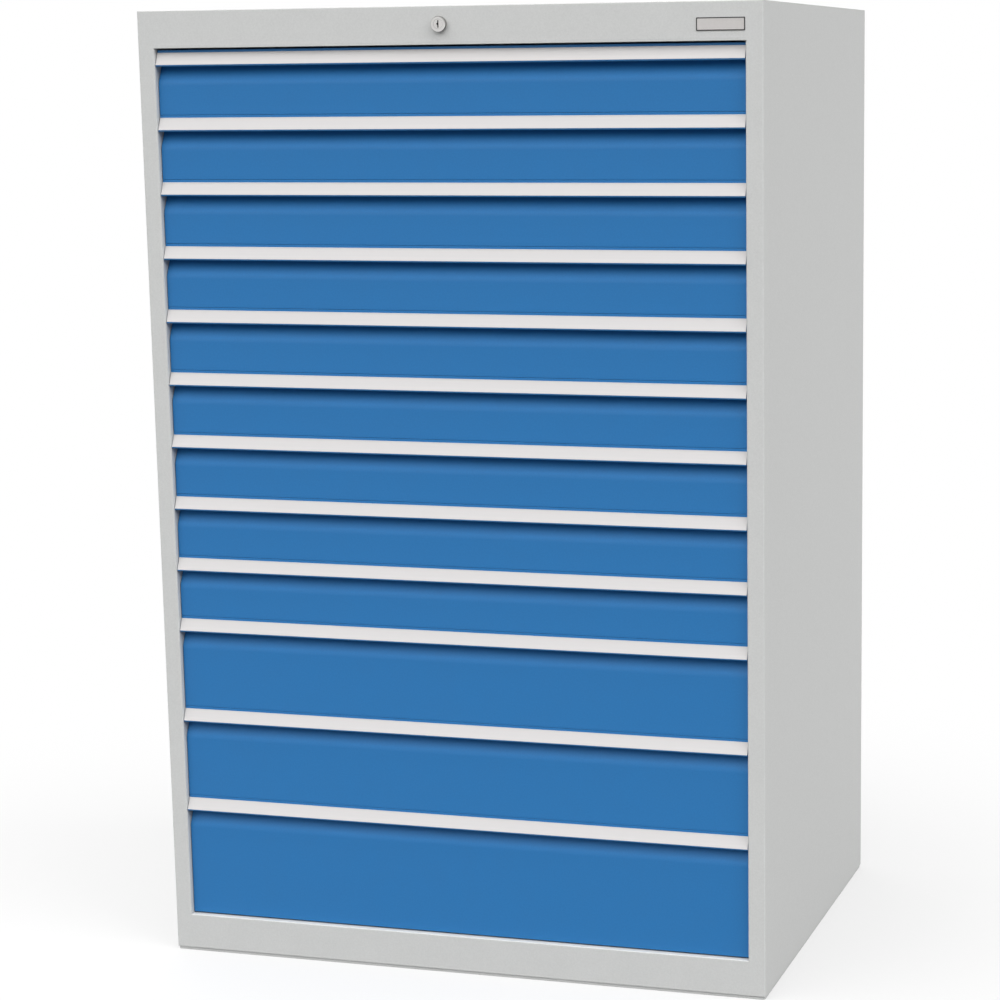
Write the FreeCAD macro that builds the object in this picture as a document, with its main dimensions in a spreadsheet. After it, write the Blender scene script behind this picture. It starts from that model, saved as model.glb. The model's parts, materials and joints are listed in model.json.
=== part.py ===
"""Steel drawer cabinet: a folded sheet carcass with twelve drawers on telescopic runners.

Frame: X to the right, Y to the back, Z up, millimetres. The origin lies on the floor,
under the centre of the whole cabinet. Inside each piece, Y is the depth behind the
front plane of the frame, and the piece's Placement puts that plane where it belongs.
"""

import FreeCAD, Part
import math
import os
from types import SimpleNamespace

import Sketcher

SIZES = {
    # carcass sheets: two side panels, a top panel with its rail, a base pan with its rail
    "sheet": 1.5,
    "bend_inside": 1.0,
    "roof_edge_round": 1.2,
    "stile_width": 27.3,
    "stile_return": 30.0,
    "stile_lip": 9.5,
    "top_rail": 57.4,
    "bottom_rail": 57.0,
    "rail_return": 25.0,
    "rail_hem": 10.0,
    "gap_above_drawers": 2.6,
    "gap_below_drawers": 2.0,
    "corner_notch": 1.8,
    "rear_space": 110.0,
    # standing frame of angle steel, under the base pan
    "stand_height": 5.0,
    "stand_angle_hold": 35.0,
    "stand_angle_foot": 30.0,
    "stand_angle_wall": 3.0,
    "stand_corner_round": 4.0,
    # rear panel, inside the rear flanges
    "rear_panel_gap": 1.2,
    # drawer fronts, one folded sheet each, with the grip and its label strip along the top
    "low_front": 100.0,
    "middle_front": 150.0,
    "tall_front": 200.0,
    "front_gap": 0.3,
    "front_side_gap": 1.0,
    "front_sheet": 1.2,
    "front_round": 0.5,
    "front_recess": 9.0,
    "front_fold": 15.0,
    "front_fold_leg": 20.0,
    "grip_band": 4.0,
    "grip_slant_drop": 18.7,
    "grip_slant_out": 7.6,
    "grip_lip": 2.3,
    "grip_undercut": 12.5,
    "grip_slope_drop": 25.0,
    "grip_slope_round": 20.0,
    "label_strip_thickness": 0.5,
    "label_strip_rim": 0.3,
    # drawer trays
    "tray_inside_width": 900.0,
    "tray_inside_depth": 600.0,
    "tray_sheet": 1.0,
    "tray_lift": 8.0,
    "tray_headroom": 15.0,
    "tray_hem": 8.0,
    # telescopic runners: a cabinet channel, a sliding beam and a drawer channel on each side
    "runner_space": 23.2,
    "runner_sheet": 1.5,
    "runner_height": 44.0,
    "runner_centre": 36.0,
    "runner_channel": 10.0,
    "runner_play": 0.4,
    "beam_wall": 1.5,
    "beam_side_gap": 3.0,
    "runner_setback": 4.0,
    "runner_overhang": 60.0,
    "beam_setback": 2.0,
    "beam_short": 22.0,
    # uprights that carry the runners, a hat section at each corner
    "upright_setback": 95.0,
    "upright_rear_inset": 96.0,
    "upright_width": 40.0,
    "upright_brim": 15.0,
    # lock in the top rail
    "lock_drop": 27.0,
    "lock_proud": 7.5,
    "lock_face_radius": 11.5,
    "lock_face_bevel": 0.7,
    "lock_body_radius": 9.5,
    "lock_body_depth": 25.0,
    "lock_hole_gap": 0.2,
    "lock_nut_radius": 14.0,
    "lock_nut_thickness": 4.0,
    "barrel_radius": 7.0,
    "barrel_play": 0.3,
    "barrel_recess": 0.3,
    "keyway_width": 1.8,
    "keyway_height": 11.0,
    "keyway_depth": 12.0,
    "keyway_bulge_radius": 1.6,
    "cam_gap": 0.5,
    "cam_thickness": 3.0,
    "cam_reach": 14.0,
    "cam_half_width": 4.5,
    "lever_tail": 7.0,
    "lock_pin_radius": 2.5,
    # link bar behind the top rail, from the lock to the locking shaft
    "link_gap": 2.5,
    "link_thickness": 3.0,
    "link_margin": 3.0,
    "link_slot_play": 0.7,
    "link_guide_thickness": 3.0,
    "link_guide_margin": 5.0,
    "link_guide_play": 0.3,
    "tongue_gap": 1.0,
    # locking shaft in the right-hand corner, with a lug for each drawer
    "shaft_radius": 5.0,
    "shaft_inset": 7.8,
    "shaft_behind_link": 21.5,
    "shaft_play": 0.3,
    "bush_wall": 4.0,
    "bush_height": 8.0,
    "rod_half": 4.0,
    "journal_margin": 2.0,
    "bracket_drop": 12.0,
    "bracket_thickness": 3.0,
    "bracket_margin": 10.0,
    "lug_reach": 22.0,
    "lug_half_width": 7.0,
    "lug_thickness": 4.0,
    "lug_lift": 67.0,
    # catch on each tray, which a lug stops
    "catch_gap": 1.5,
    "catch_sheet": 2.0,
    "catch_clear": 4.2,
    "catch_foot": 20.0,
    "catch_height": 14.0,
    "catch_lift": 62.0,
}

# sine of 45 degrees: the lock's cam and the shaft's lever swing 45 degrees each way
SWING_SHARE = math.sin(math.radians(45))
# places of the link bar's guides, as shares of the way from the lock to the shaft
GUIDE_SHARES = (0.3, 0.8)
# width of the label strip's two rims, as a share of the strip's width
RIM_SHARE = 0.07

doc = FreeCAD.newDocument("drawer_cabinet")
sheet = doc.addObject("Spreadsheet::Sheet", "Sizes")
nodes = []
cuts = []


class Size:
    """A length together with the sheet expression that it is worked out from."""

    def __init__(self, value, text):
        self.value = float(value)
        self.text = text

    def __add__(self, other):
        other = as_size(other)
        return Size(self.value + other.value, f"({self.text} + {other.text})")

    def __sub__(self, other):
        other = as_size(other)
        return Size(self.value - other.value, f"({self.text} - {other.text})")

    def __neg__(self):
        return Size(-self.value, f"(0 - {self.text})")

    def __mul__(self, share):
        return Size(self.value * share, f"({self.text} * {share})")

    def __truediv__(self, share):
        return Size(self.value / share, f"({self.text} / {share})")


def as_size(item):
    return item if isinstance(item, Size) else Size(item, repr(item))


ZERO = Size(0, "0")


def fill_sheet():
    """Write every size to the sheet and return them as Size values."""
    for row, (name, value) in enumerate(SIZES.items(), start=1):
        sheet.set(f"A{row}", name)
        sheet.set(f"B{row}", str(value))
        sheet.setAlias(f"B{row}", name)
    doc.recompute()
    return {name: Size(value, f"Sizes.{name}") for name, value in SIZES.items()}


s = SimpleNamespace(**fill_sheet())

# heights, from the floor up
MODULES = [s.low_front] * 9 + [s.middle_front] * 2 + [s.tall_front]
sill = s.stand_height + s.bottom_rail
stack_bottom = sill + s.gap_below_drawers
stack_top = stack_bottom + sum(MODULES, ZERO)
opening_top = stack_top + s.gap_above_drawers
total_height = opening_top + s.top_rail
roof_under = total_height - s.sheet
floor_under = sill - s.sheet
lock_height = total_height - s.lock_drop

# depths, behind the front plane
tray_front = s.front_recess + s.front_fold
tray_length = s.tray_inside_depth + s.tray_sheet * 2
depth = tray_front + tray_length + s.rear_space
rear_inside = depth - s.sheet
front_plane = (s.lock_proud - depth) / 2
runner_front = s.stile_return + s.runner_setback
runner_length = tray_length + s.runner_overhang
beam_front = runner_front + s.beam_setback
beam_length = runner_length - s.beam_short
cam_front = s.lock_body_depth + s.cam_gap
link_front = cam_front + s.cam_thickness + s.link_gap
link_back = link_front + s.link_thickness
shaft_depth = link_back + s.shaft_behind_link
catch_front = shaft_depth + s.lug_half_width + s.catch_gap

# half widths, from the middle of the cabinet
tray_half = s.tray_inside_width / 2 + s.tray_sheet
opening_half = tray_half + s.runner_space
half_width = opening_half + s.stile_width
wall_inside = half_width - s.sheet
front_half = opening_half - s.front_side_gap
shaft_place = opening_half + s.shaft_inset
swing = s.cam_reach * SWING_SHARE

# the link bar's height comes from the arc of the cam's pin
pin_low = lock_height + s.cam_reach * SWING_SHARE - s.lock_pin_radius - s.link_slot_play
pin_high = lock_height + s.cam_reach + s.lock_pin_radius + s.link_slot_play
link_bottom = pin_low - s.link_margin
link_top = pin_high + s.link_margin
tongue_under = link_top - s.link_thickness
lever_top = tongue_under - s.tongue_gap
bracket_under = lever_top - s.cam_thickness - s.bracket_drop
slot_half = s.lock_pin_radius + s.link_slot_play


def bind(obj, prop, size):
    obj.setExpression(prop, size.text)


def new_body(label, lift=ZERO):
    """Start a body whose depth is counted from the front plane, lifted to its height."""
    body = doc.addObject("PartDesign::Body", label)
    body.Label = label
    bind(body, "Placement.Base.y", front_plane)
    bind(body, "Placement.Base.z", lift)
    return body


# for each sketch plane: its role, and the side of its axis that its normal points to
PLANES = {"XY": ("XY_Plane", 1), "XZ": ("XZ_Plane", -1), "YZ": ("YZ_Plane", 1)}


def draw(body, plane, at, outlines=(), circles=()):
    """Draw closed outlines and circles on a plane of the body, each point tied to the sheet."""
    role, side = PLANES[plane]
    sketch = body.newObject("Sketcher::SketchObject", f"{body.Name}_outline")
    sketch.AttachmentSupport = [
        (next(item for item in body.Origin.OriginFeatures if item.Role == role), "")
    ]
    sketch.MapMode = "FlatFace"
    bind(sketch, "AttachmentOffset.Base.z", at * side)
    for corners in outlines:
        draw_outline(sketch, corners)
    for across, up, radius in circles:
        centre = FreeCAD.Vector(across.value, up.value, 0)
        ring = sketch.addGeometry(Part.Circle(centre, FreeCAD.Vector(0, 0, 1), radius.value), False)
        tie(sketch, ring, 3, across, up)
        rule = sketch.addConstraint(Sketcher.Constraint("Radius", ring, radius.value))
        bind(sketch, f"Constraints[{rule}]", radius)
    return sketch


def draw_outline(sketch, corners):
    first = sketch.GeometryCount
    count = len(corners)
    points = [FreeCAD.Vector(across.value, up.value, 0) for across, up in corners]
    for index in range(count):
        line = Part.LineSegment(points[index], points[(index + 1) % count])
        sketch.addGeometry(line, False)
    for index in range(count):
        following = first + (index + 1) % count
        sketch.addConstraint(Sketcher.Constraint("Coincident", first + index, 2, following, 1))
    for index, (across, up) in enumerate(corners):
        tie(sketch, first + index, 1, across, up)


def tie(sketch, geometry, point, across, up):
    """Tie one point of a sketch to its place from the sketch's origin."""
    for direction, size in (("DistanceX", across), ("DistanceY", up)):
        rule = Sketcher.Constraint(direction, -1, 1, geometry, point, size.value)
        bind(sketch, f"Constraints[{sketch.addConstraint(rule)}]", size)


def box_outline(left, right, low, high):
    return [(left, low), (right, low), (right, high), (left, high)]


def mirrored(corners):
    return [(-across, up) for across, up in corners]


def pad(body, plane, at, length, outlines=(), circles=(), middle=False):
    """Pad outlines from their plane towards the positive end of its axis, or both ways."""
    feature = body.newObject("PartDesign::Pad", f"{body.Name}_pad")
    feature.Profile = draw(body, plane, at, outlines, circles)
    bind(feature, "Length", length)
    feature.Reversed = PLANES[plane][1] < 0
    if middle:
        feature.SideType = "Symmetric"
    body.Tip = feature
    return feature


def cut(body, plane, at, length, outlines=(), circles=(), middle=False):
    """Cut outlines away from their plane towards the positive end of its axis, or both ways."""
    before = body.Tip
    feature = body.newObject("PartDesign::Pocket", f"{body.Name}_cut")
    feature.Profile = draw(body, plane, at, outlines, circles)
    bind(feature, "Length", length)
    feature.Reversed = PLANES[plane][1] > 0
    if middle:
        feature.SideType = "Symmetric"
    body.Tip = feature
    cuts.append((before, feature))
    return feature


def hollow(body, wall, is_open):
    """Turn the body's block into a sheet shell, open at the faces that the test picks."""
    doc.recompute()
    block = body.Tip
    faces = [
        f"Face{number}"
        for number, face in enumerate(block.Shape.Faces, start=1)
        if is_open(face.CenterOfMass)
    ]
    feature = body.newObject("PartDesign::Thickness", f"{body.Name}_shell")
    feature.Base = (block, faces)
    bind(feature, "Value", wall)
    feature.Reversed = True
    feature.Join = "Intersection"
    body.Tip = feature
    cuts.append((block, feature))
    return feature


def round_edges(body, radius, is_wanted):
    """Round the edges of the body's last feature that the test picks."""
    doc.recompute()
    base = body.Tip
    edges = [
        f"Edge{number}"
        for number, edge in enumerate(base.Shape.Edges, start=1)
        if is_wanted(edge.Vertexes[0].Point, edge.Vertexes[-1].Point)
    ]
    feature = body.newObject("PartDesign::Fillet", f"{body.Name}_round")
    feature.Base = (base, edges)
    bind(feature, "Radius", radius)
    body.Tip = feature
    return feature


def bevel_edges(body, width, is_wanted):
    """Bevel the edges of the body's last feature that the test picks."""
    doc.recompute()
    base = body.Tip
    edges = [
        f"Edge{number}"
        for number, edge in enumerate(base.Shape.Edges, start=1)
        if is_wanted(edge.Vertexes[0].Point, edge.Vertexes[-1].Point)
    ]
    feature = body.newObject("PartDesign::Chamfer", f"{body.Name}_bevel")
    feature.Base = (base, edges)
    bind(feature, "Size", width)
    body.Tip = feature
    return feature


def near(number, size):
    return abs(number - size.value) < s.sheet.value / 1000


def upright_edge(*places):
    """A test for upright edges that stand at one of the given places (across, depth)."""

    def test(start, end):
        upright = near(start.x, Size(end.x, "")) and near(start.y, Size(end.y, ""))
        return upright and any(near(start.x, x) and near(start.y, y) for x, y in places)

    return test


def long_edge(*places):
    """A test for edges along X that lie at one of the given places (depth, height)."""

    def test(start, end):
        along = near(start.y, Size(end.y, "")) and near(start.z, Size(end.z, ""))
        return along and any(near(start.y, y) and near(start.z, z) for y, z in places)

    return test


def group(label, members):
    """Gather separate solids of one sub-part under one name."""
    compound = doc.addObject("Part::Compound", label)
    compound.Label = label
    compound.Links = members
    return compound


def side_panel(label, side):
    """Side wall, front stile, its return and lip, and the rear flange, folded from one sheet."""
    body = new_body(label, s.stand_height)
    lip_end = opening_half + s.stile_lip
    return_end = s.stile_return
    section = [
        (half_width, ZERO),
        (half_width, depth),
        (opening_half, depth),
        (opening_half, rear_inside),
        (wall_inside, rear_inside),
        (wall_inside, s.sheet),
        (opening_half + s.sheet, s.sheet),
        (opening_half + s.sheet, return_end - s.sheet),
        (lip_end, return_end - s.sheet),
        (lip_end, return_end),
        (opening_half, return_end),
        (opening_half, ZERO),
    ]
    tall = roof_under - s.stand_height
    pad(body, "XY", ZERO, tall, [section if side > 0 else mirrored(section)])
    outer = [(half_width, ZERO), (half_width, depth), (opening_half, ZERO)]
    inner = [
        (wall_inside, s.sheet),
        (wall_inside, rear_inside),
        (opening_half + s.sheet, s.sheet),
    ]
    if side < 0:
        outer = mirrored(outer)
        inner = mirrored(inner)
    round_edges(body, s.bend_inside + s.sheet, upright_edge(*outer))
    round_edges(body, s.bend_inside, upright_edge(*inner))
    # below the sill the return is cut away, so that the base pan and the standing frame fit
    foot = box_outline(opening_half, wall_inside, s.sheet, return_end + s.corner_notch)
    cut(body, "XY", ZERO, s.bottom_rail, [foot if side > 0 else mirrored(foot)])
    if side > 0:
        add_shaft_bracket(body)
    return body


def add_shaft_bracket(body):
    """Bracket on the right-hand wall that holds the upper end of the locking shaft."""
    level = bracket_under - s.stand_height
    plate = box_outline(
        shaft_place - s.bracket_margin,
        wall_inside,
        shaft_depth - s.bracket_margin,
        shaft_depth + s.bracket_margin,
    )
    pad(body, "XY", level, s.bracket_thickness, [plate])
    ring = [(shaft_place, shaft_depth, s.shaft_radius + s.shaft_play)]
    cut(body, "XY", level, s.bracket_thickness, circles=ring)


def top_panel():
    """Roof with the front and rear rails folded down from it, and the link bar's guides."""
    body = new_body("top_panel")
    hem_front = s.rail_return - s.sheet
    section = [
        (ZERO, opening_top),
        (s.rail_return, opening_top),
        (s.rail_return, opening_top + s.rail_hem),
        (hem_front, opening_top + s.rail_hem),
        (hem_front, opening_top + s.sheet),
        (s.sheet, opening_top + s.sheet),
        (s.sheet, roof_under),
        (rear_inside, roof_under),
        (rear_inside, opening_top),
        (depth, opening_top),
        (depth, total_height),
        (ZERO, total_height),
    ]
    pad(body, "YZ", ZERO, half_width * 2, [section], middle=True)
    # the rails end between the stiles and between the rear flanges
    beyond = box_outline(opening_half, half_width, ZERO, depth)
    cut(body, "XY", opening_top, s.top_rail - s.sheet, [beyond, mirrored(beyond)])
    corners = [(half_width, ZERO), (half_width, depth)]
    round_edges(
        body, s.bend_inside + s.sheet, upright_edge(*corners, *mirrored(corners))
    )
    round_edges(body, s.roof_edge_round, roof_rim)
    for share in GUIDE_SHARES:
        add_link_guide(body, share)
    cut(
        body,
        "XZ",
        ZERO,
        s.sheet,
        circles=[(ZERO, lock_height, s.lock_body_radius + s.lock_hole_gap)],
    )
    return body


def roof_rim(start, end):
    """Picks the rim of the roof's upper face."""
    return near(start.z, total_height) and near(end.z, total_height)


def add_link_guide(body, share):
    """Plate between the rail and the roof, with a window that the link bar slides through."""
    place = shaft_place * share
    outer = box_outline(
        s.sheet,
        link_back + s.link_guide_margin,
        link_bottom - s.link_guide_margin,
        roof_under,
    )
    window = box_outline(
        link_front - s.link_guide_play,
        link_back + s.link_guide_play,
        link_bottom - s.link_guide_play,
        link_top + s.link_guide_play,
    )
    pad(body, "YZ", place, s.link_guide_thickness, [outer, window])


def base_pan():
    """Cabinet floor with the bottom rail and a rear rail, and the locking shaft's bush."""
    body = new_body("base_pan")
    section = [
        (ZERO, s.stand_height),
        (s.sheet, s.stand_height),
        (s.sheet, floor_under),
        (rear_inside, floor_under),
        (rear_inside, s.stand_height),
        (depth, s.stand_height),
        (depth, sill),
        (ZERO, sill),
    ]
    pad(body, "YZ", ZERO, wall_inside * 2, [section], middle=True)
    front_corner = box_outline(opening_half, wall_inside, ZERO, s.sheet + s.corner_notch)
    rear_corner = box_outline(opening_half, wall_inside, rear_inside - s.corner_notch, depth)
    ends = [front_corner, rear_corner]
    ends += [mirrored(corner) for corner in ends]
    cut(body, "XY", s.stand_height, s.bottom_rail, ends)
    round_edges(
        body, s.bend_inside + s.sheet / 2, long_edge((ZERO, sill), (depth, sill))
    )
    shaft_hole = s.shaft_radius + s.shaft_play
    rings = [
        (shaft_place, shaft_depth, shaft_hole + s.bush_wall),
        (shaft_place, shaft_depth, shaft_hole),
    ]
    pad(body, "XY", sill, s.bush_height, circles=rings)
    return body


def base_frame():
    """Angle-steel ring that the cabinet stands on; it shows below the sheets."""
    body = new_body("base_frame")
    outer = box_outline(-wall_inside, wall_inside, s.sheet, rear_inside)
    angle_height = s.stand_height + s.stand_angle_hold
    pad(body, "XY", ZERO, angle_height, [outer])
    corners = [(wall_inside, s.sheet), (wall_inside, rear_inside)]
    round_edges(body, s.stand_corner_round, upright_edge(*corners, *mirrored(corners)))
    wall = s.stand_angle_wall
    inner = box_outline(
        -wall_inside + wall, wall_inside - wall, s.sheet + wall, rear_inside - wall
    )
    cut(body, "XY", wall, angle_height - wall, [inner])
    foot = s.stand_angle_foot
    hole = box_outline(
        -wall_inside + foot, wall_inside - foot, s.sheet + foot, rear_inside - foot
    )
    cut(body, "XY", ZERO, wall, [hole])
    return body


def rear_panel():
    """Flat sheet that closes the back, set against the rear flanges and rails."""
    body = new_body("rear_panel")
    half = wall_inside - s.rear_panel_gap
    low = sill + s.rear_panel_gap
    high = roof_under - s.rear_panel_gap
    pad(body, "XZ", rear_inside - s.sheet, s.sheet, [box_outline(-half, half, low, high)])
    return body


def runner_uprights():
    """Four hat-section posts on the side walls; the cabinet channels hang on them."""
    body = new_body("runner_uprights", sill)
    outlines = []
    rear_start = depth - s.upright_rear_inset - s.upright_width
    for start in (s.upright_setback, rear_start):
        end = start + s.upright_width
        wall = s.sheet
        section = [
            (wall_inside, start - s.upright_brim),
            (wall_inside, start + wall),
            (opening_half + wall, start + wall),
            (opening_half + wall, end - wall),
            (wall_inside, end - wall),
            (wall_inside, end + s.upright_brim),
            (wall_inside - wall, end + s.upright_brim),
            (wall_inside - wall, end),
            (opening_half, end),
            (opening_half, start),
            (wall_inside - wall, start),
            (wall_inside - wall, start - s.upright_brim),
        ]
        outlines += [section, mirrored(section)]
    pad(body, "XY", ZERO, opening_top - sill, outlines)
    return body


def channel_section(web, tip):
    """C-section of a runner channel, from its web's face to the tips of its flanges."""
    low = s.runner_centre - s.runner_height / 2
    high = s.runner_centre + s.runner_height / 2
    wall = s.runner_sheet if web.value < tip.value else -s.runner_sheet
    sheet_wall = s.runner_sheet
    return [
        (web, low),
        (tip, low),
        (tip, low + sheet_wall),
        (web + wall, low + sheet_wall),
        (web + wall, high - sheet_wall),
        (tip, high - sheet_wall),
        (tip, high),
        (web, high),
    ]


def runner_pair(label, lift, section, front, length):
    """One runner member on each side of a drawer, as two separate solids."""
    body = new_body(label, lift)
    pad(body, "XZ", front, length, [section, mirrored(section)])
    return body


def cabinet_runners(lifts):
    """All the channels that are fixed to the uprights."""
    section = channel_section(opening_half, opening_half - s.runner_channel)
    members = [
        runner_pair(f"cabinet_channel_{number:02d}", lift, section, runner_front, runner_length)
        for number, lift in enumerate(lifts, start=1)
    ]
    return group("cabinet_runners", members)


def mid_runners(number, lift):
    """Sliding beams, an I-section each, between the cabinet's and the drawer's channels."""
    wall = s.beam_wall
    outer = opening_half - s.beam_side_gap
    inner = tray_half + s.beam_side_gap
    web_outer = (outer + inner + wall) / 2
    web_inner = web_outer - wall
    reach = s.runner_height / 2 - s.runner_sheet - s.runner_play
    low = s.runner_centre - reach
    high = s.runner_centre + reach
    section = [
        (inner, low),
        (outer, low),
        (outer, low + wall),
        (web_outer, low + wall),
        (web_outer, high - wall),
        (outer, high - wall),
        (outer, high),
        (inner, high),
        (inner, high - wall),
        (web_inner, high - wall),
        (web_inner, low + wall),
        (inner, low + wall),
    ]
    label = f"drawer_{number:02d}_mid_runners"
    return runner_pair(label, lift, section, beam_front, beam_length)


def drawer_front(number, lift, module):
    """Folded front: top band, slanted grip face, lip, finger recess and flat panel."""
    body = new_body(f"drawer_{number:02d}_front", lift)
    low = s.front_gap
    band = module - s.grip_band
    slant = band - s.grip_slant_drop
    under = slant - s.grip_lip
    slope_end = under - s.grip_slope_drop
    nose = s.front_recess - s.grip_slant_out
    section = [
        (tray_front, low),
        (s.front_recess, low),
        (s.front_recess, slope_end),
        (s.front_recess + s.grip_undercut, under),
        (nose, under),
        (nose, slant),
        (s.front_recess, band),
        (s.front_recess, module),
        (tray_front, module),
    ]
    pad(body, "YZ", ZERO, front_half * 2, [section], middle=True)
    round_edges(body, s.grip_slope_round, long_edge((s.front_recess, slope_end)))
    hollow(body, s.front_sheet, lambda centre: near(centre.y, tray_front))
    leg_front = tray_front - s.front_sheet
    legs = [
        box_outline(leg_front, tray_front, low, low + s.front_fold_leg),
        box_outline(leg_front, tray_front, module - s.front_fold_leg, module),
    ]
    pad(body, "YZ", ZERO, front_half * 2, legs, middle=True)
    bends = [
        (s.front_recess, low),
        (nose, under),
        (s.front_recess, module),
    ]
    round_edges(body, s.front_round, long_edge(*bends))
    return body


def label_strip(number, lift, module):
    """Extruded strip on the slanted face of the grip; its two rims hold a paper label."""
    body = new_body(f"drawer_{number:02d}_label_strip", lift)
    slant = module - s.grip_band - s.grip_slant_drop
    nose = s.front_recess - s.grip_slant_out
    flat = s.label_strip_thickness
    rim = s.label_strip_thickness + s.label_strip_rim

    def ahead_of_face(share, thickness):
        """Point in front of the slanted face, at a share of the way up it."""
        across = nose + s.grip_slant_out * share - thickness
        return across, slant + s.grip_slant_drop * share

    section = [
        ahead_of_face(0, ZERO),
        ahead_of_face(1, ZERO),
        ahead_of_face(1, rim),
        ahead_of_face(1 - RIM_SHARE, rim),
        ahead_of_face(1 - RIM_SHARE, flat),
        ahead_of_face(RIM_SHARE, flat),
        ahead_of_face(RIM_SHARE, rim),
        ahead_of_face(0, rim),
    ]
    pad(body, "YZ", ZERO, front_half * 2, [section], middle=True)
    return body


def tray(number, lift, module):
    """Drawer tray with hemmed rim, its two runner channels and the catch for the lock."""
    name = f"drawer_{number:02d}_tray"
    shell = new_body(f"{name}_shell", lift)
    tray_rear = tray_front + tray_length
    high = module - s.tray_headroom
    outline = box_outline(-tray_half, tray_half, tray_front, tray_rear)
    pad(shell, "XY", s.tray_lift, high - s.tray_lift, [outline])
    hollow(shell, s.tray_sheet, lambda centre: near(centre.z, high))
    hem = s.tray_sheet + s.tray_hem
    rim = box_outline(-tray_half + hem, tray_half - hem, tray_front + hem, tray_rear - hem)
    pad(shell, "XY", high - s.tray_sheet, s.tray_sheet, [outline, rim])
    section = channel_section(tray_half, tray_half + s.runner_channel)
    channels = runner_pair(f"{name}_channels", lift, section, tray_front, tray_length)
    return group(name, [shell, channels, tray_catch(f"{name}_catch", lift)])


def tray_catch(label, lift):
    """Angle bracket on the tray's right wall, which a lug stops when the lock is turned."""
    catch = new_body(label, lift)
    catch_end = opening_half - s.catch_clear
    catch_back = catch_front + s.catch_sheet
    section = [
        (tray_half, catch_front),
        (catch_end, catch_front),
        (catch_end, catch_back),
        (tray_half + s.catch_sheet, catch_back),
        (tray_half + s.catch_sheet, catch_front + s.catch_foot),
        (tray_half, catch_front + s.catch_foot),
    ]
    pad(catch, "XY", s.catch_lift, s.catch_height, [section])
    return catch


def lock_housing():
    """Round lock body with its proud face, and the nut that holds it behind the rail."""
    shell = new_body("lock_shell", lock_height)
    bore = s.barrel_radius + s.barrel_play
    face = [(ZERO, ZERO, s.lock_face_radius), (ZERO, ZERO, bore)]
    pad(shell, "XZ", -s.lock_proud, s.lock_proud, circles=face)
    neck = [(ZERO, ZERO, s.lock_body_radius), (ZERO, ZERO, bore)]
    pad(shell, "XZ", ZERO, s.lock_body_depth, circles=neck)
    bevel_edges(shell, s.lock_face_bevel, face_rim)
    nut = new_body("lock_nut", lock_height)
    turns = [math.radians(60 * step) for step in range(6)]
    hexagon = [
        (s.lock_nut_radius * math.cos(turn), s.lock_nut_radius * math.sin(turn)) for turn in turns
    ]
    hole = [(ZERO, ZERO, s.lock_body_radius)]
    pad(nut, "XZ", s.sheet, s.lock_nut_thickness, [hexagon], hole)
    return group("lock_housing", [shell, nut])


def face_rim(start, end):
    """Picks the outer rim of the lock's face."""
    on_face = near(start.y, -s.lock_proud) and near(end.y, -s.lock_proud)
    return on_face and near(start.x, s.lock_face_radius)


def lock_barrel():
    """Key barrel with its keyway in front and the cam, with its pin, behind."""
    body = new_body("lock_barrel", lock_height)
    front = s.barrel_recess - s.lock_proud
    pad(body, "XZ", front, cam_front - front, circles=[(ZERO, ZERO, s.barrel_radius)])
    slit = box_outline(
        -s.keyway_width / 2,
        s.keyway_width / 2,
        -s.keyway_height / 2,
        s.keyway_height / 2,
    )
    cut(body, "XZ", front, s.keyway_depth, [slit])
    bulge = [(-s.keyway_width / 2, ZERO, s.keyway_bulge_radius)]
    cut(body, "XZ", front, s.keyway_depth, circles=bulge)
    # at rest the cam leans 45 degrees towards the right
    arm = leaning_arm(ZERO, ZERO, 1, ZERO)
    pad(body, "XZ", cam_front, s.cam_thickness, [arm])
    pin_front = cam_front + s.cam_thickness
    pin_length = link_back + s.link_gap - pin_front
    pad(body, "XZ", pin_front, pin_length, circles=[(swing, swing, s.lock_pin_radius)])
    return body


def leaning_arm(across, up, side, tail):
    """Arm that leans 45 degrees to the right, upwards (side 1) or downwards (side -1)."""
    along = s.cam_half_width * SWING_SHARE
    tip = (s.cam_reach + s.cam_half_width) * SWING_SHARE
    end = -tail * SWING_SHARE
    return [
        (across - along + end, up + (along + end) * side),
        (across + along + end, up + (end - along) * side),
        (across + along + tip, up + (tip - along) * side),
        (across - along + tip, up + (tip + along) * side),
    ]


def link_bar():
    """Flat bar behind the top rail: a slot for the cam's pin, and a tongue for the lever's."""
    body = new_body("link_bar")
    cam_slot = box_outline(swing - slot_half, swing + slot_half, pin_low, pin_high)
    lever_slot_place = shaft_place + swing
    bar_end = lever_slot_place + slot_half + s.link_margin
    bar = box_outline(swing - slot_half - s.link_margin, bar_end, link_bottom, link_top)
    pad(body, "XZ", link_front, s.link_thickness, [bar, cam_slot])
    slot_front = shaft_depth - s.cam_reach - slot_half
    slot_back = shaft_depth - swing + slot_half
    tongue_left = lever_slot_place - slot_half - s.link_margin
    tongue = box_outline(tongue_left, bar_end, link_back, slot_back + s.link_margin)
    slot = box_outline(
        lever_slot_place - slot_half, lever_slot_place + slot_half, slot_front, slot_back
    )
    pad(body, "XY", tongue_under, s.link_thickness, [tongue, slot])
    return body


def locking_shaft(lifts):
    """Square rod with round ends, a lever on top, and a lug for each drawer's catch."""
    rod = new_body("lock_rod")
    foot = sill + s.shaft_play
    square_start = sill + s.bush_height + s.journal_margin
    square_end = bracket_under - s.journal_margin
    lever_under = lever_top - s.cam_thickness
    circle = (shaft_place, shaft_depth, s.shaft_radius)
    pad(rod, "XY", foot, square_start - foot, circles=[circle])
    pad(rod, "XY", square_start, square_end - square_start, [rod_square()])
    pad(rod, "XY", square_end, lever_under - square_end, circles=[circle])
    members = [rod, shaft_lever(lever_under)]
    members += [shaft_lug(number, lift) for number, lift in enumerate(lifts, start=1)]
    return group("locking_shaft", members)


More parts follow.
